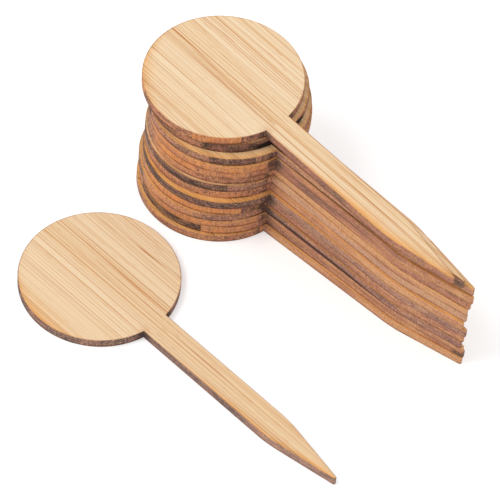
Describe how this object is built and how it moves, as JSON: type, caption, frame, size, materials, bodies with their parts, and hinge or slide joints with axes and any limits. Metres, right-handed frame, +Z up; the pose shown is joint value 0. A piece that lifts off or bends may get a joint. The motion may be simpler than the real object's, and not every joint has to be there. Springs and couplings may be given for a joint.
{
  "type": "plant label stake set",
  "caption": "Flat bamboo garden label stakes with a round writing head and a straight pointed leg, piled face to face with one lying loose beside the pile.",
  "frame": {"origin": "centre of the lowest stake's round head in the pile, on the surface that it lies on", "axes": "+X along the pile's stakes towards their points, +Y to the left of a stake seen from above with its point forward, +Z up"},
  "size_m": [0.1348, 0.1103, 0.042],
  "materials": {
    "pale_bamboo": "sanded, unsealed",
    "straw_bamboo": "sanded, unsealed",
    "honey_bamboo": "sanded, unsealed"
  },
  "bodies": {
    "stake_01": {"stake_01_right_head_strips": "straw_bamboo", "stake_01_right_leg_strip": "pale_bamboo", "stake_01_left_leg_strip": "honey_bamboo", "stake_01_left_head_strips": "pale_bamboo"},
    "stake_02": {"stake_02_right_head_strips": "straw_bamboo", "stake_02_right_leg_strip": "pale_bamboo", "stake_02_left_leg_strip": "honey_bamboo", "stake_02_left_head_strips": "pale_bamboo"},
    "stake_03": {"stake_03_right_head_strips": "straw_bamboo", "stake_03_right_leg_strip": "pale_bamboo", "stake_03_left_leg_strip": "honey_bamboo", "stake_03_left_head_strips": "pale_bamboo"},
    "stake_04": {"stake_04_right_head_strips": "straw_bamboo", "stake_04_right_leg_strip": "pale_bamboo", "stake_04_left_leg_strip": "honey_bamboo", "stake_04_left_head_strips": "pale_bamboo"},
    "stake_05": {"stake_05_right_head_strips": "straw_bamboo", "stake_05_right_leg_strip": "pale_bamboo", "stake_05_left_leg_strip": "honey_bamboo", "stake_05_left_head_strips": "pale_bamboo"},
    "stake_06": {"stake_06_right_head_strips": "straw_bamboo", "stake_06_right_leg_strip": "pale_bamboo", "stake_06_left_leg_strip": "honey_bamboo", "stake_06_left_head_strips": "pale_bamboo"},
    "stake_07": {"stake_07_right_head_strips": "straw_bamboo", "stake_07_right_leg_strip": "pale_bamboo", "stake_07_left_leg_strip": "honey_bamboo", "stake_07_left_head_strips": "pale_bamboo"},
    "stake_08": {"stake_08_right_head_strips": "straw_bamboo", "stake_08_right_leg_strip": "pale_bamboo", "stake_08_left_leg_strip": "honey_bamboo", "stake_08_left_head_strips": "pale_bamboo"},
    "stake_09": {"stake_09_right_head_strips": "straw_bamboo", "stake_09_right_leg_strip": "pale_bamboo", "stake_09_left_leg_strip": "honey_bamboo", "stake_09_left_head_strips": "pale_bamboo"},
    "stake_10": {"stake_10_right_head_strips": "straw_bamboo", "stake_10_right_leg_strip": "pale_bamboo", "stake_10_left_leg_strip": "honey_bamboo", "stake_10_left_head_strips": "pale_bamboo"},
    "stake_11": {"stake_11_right_head_strips": "straw_bamboo", "stake_11_right_leg_strip": "pale_bamboo", "stake_11_left_leg_strip": "honey_bamboo", "stake_11_left_head_strips": "pale_bamboo"},
    "stake_12": {"stake_12_right_head_strips": "straw_bamboo", "stake_12_right_leg_strip": "pale_bamboo", "stake_12_left_leg_strip": "honey_bamboo", "stake_12_left_head_strips": "pale_bamboo"},
    "stake_13": {"stake_13_right_head_strips": "straw_bamboo", "stake_13_right_leg_strip": "pale_bamboo", "stake_13_left_leg_strip": "honey_bamboo", "stake_13_left_head_strips": "pale_bamboo"},
    "stake_14": {"stake_14_right_head_strips": "straw_bamboo", "stake_14_right_leg_strip": "pale_bamboo", "stake_14_left_leg_strip": "honey_bamboo", "stake_14_left_head_strips": "pale_bamboo"},
    "loose_stake": {"loose_stake_right_head_strips": "straw_bamboo", "loose_stake_right_leg_strip": "pale_bamboo", "loose_stake_left_leg_strip": "honey_bamboo", "loose_stake_left_head_strips": "pale_bamboo"}
  },
  "joints": [
    {"name": "lift_stake_02", "type": "slide", "parent": "stake_01", "child": "stake_02", "axis": [0, 0, 1], "range_m": [0, 0.015]},
    {"name": "lift_stake_03", "type": "slide", "parent": "stake_02", "child": "stake_03", "axis": [0, 0, 1], "range_m": [0, 0.015]},
    {"name": "lift_stake_04", "type": "slide", "parent": "stake_03", "child": "stake_04", "axis": [0, 0, 1], "range_m": [0, 0.015]},
    {"name": "lift_stake_05", "type": "slide", "parent": "stake_04", "child": "stake_05", "axis": [0, 0, 1], "range_m": [0, 0.015]},
    {"name": "lift_stake_06", "type": "slide", "parent": "stake_05", "child": "stake_06", "axis": [0, 0, 1], "range_m": [0, 0.015]},
    {"name": "lift_stake_07", "type": "slide", "parent": "stake_06", "child": "stake_07", "axis": [0, 0, 1], "range_m": [0, 0.015]},
    {"name": "lift_stake_08", "type": "slide", "parent": "stake_07", "child": "stake_08", "axis": [0, 0, 1], "range_m": [0, 0.015]},
    {"name": "lift_stake_09", "type": "slide", "parent": "stake_08", "child": "stake_09", "axis": [0, 0, 1], "range_m": [0, 0.015]},
    {"name": "lift_stake_10", "type": "slide", "parent": "stake_09", "child": "stake_10", "axis": [0, 0, 1], "range_m": [0, 0.015]},
    {"name": "lift_stake_11", "type": "slide", "parent": "stake_10", "child": "stake_11", "axis": [0, 0, 1], "range_m": [0, 0.015]},
    {"name": "lift_stake_12", "type": "slide", "parent": "stake_11", "child": "stake_12", "axis": [0, 0, 1], "range_m": [0, 0.015]},
    {"name": "lift_stake_13", "type": "slide", "parent": "stake_12", "child": "stake_13", "axis": [0, 0, 1], "range_m": [0, 0.015]},
    {"name": "lift_stake_14", "type": "slide", "parent": "stake_13", "child": "stake_14", "axis": [0, 0, 1], "range_m": [0, 0.015]},
    {"name": "lift_loose_stake", "type": "slide", "parent": "stake_01", "child": "loose_stake", "axis": [0, 0, 1], "range_m": [0, 0.015]}
  ]
}
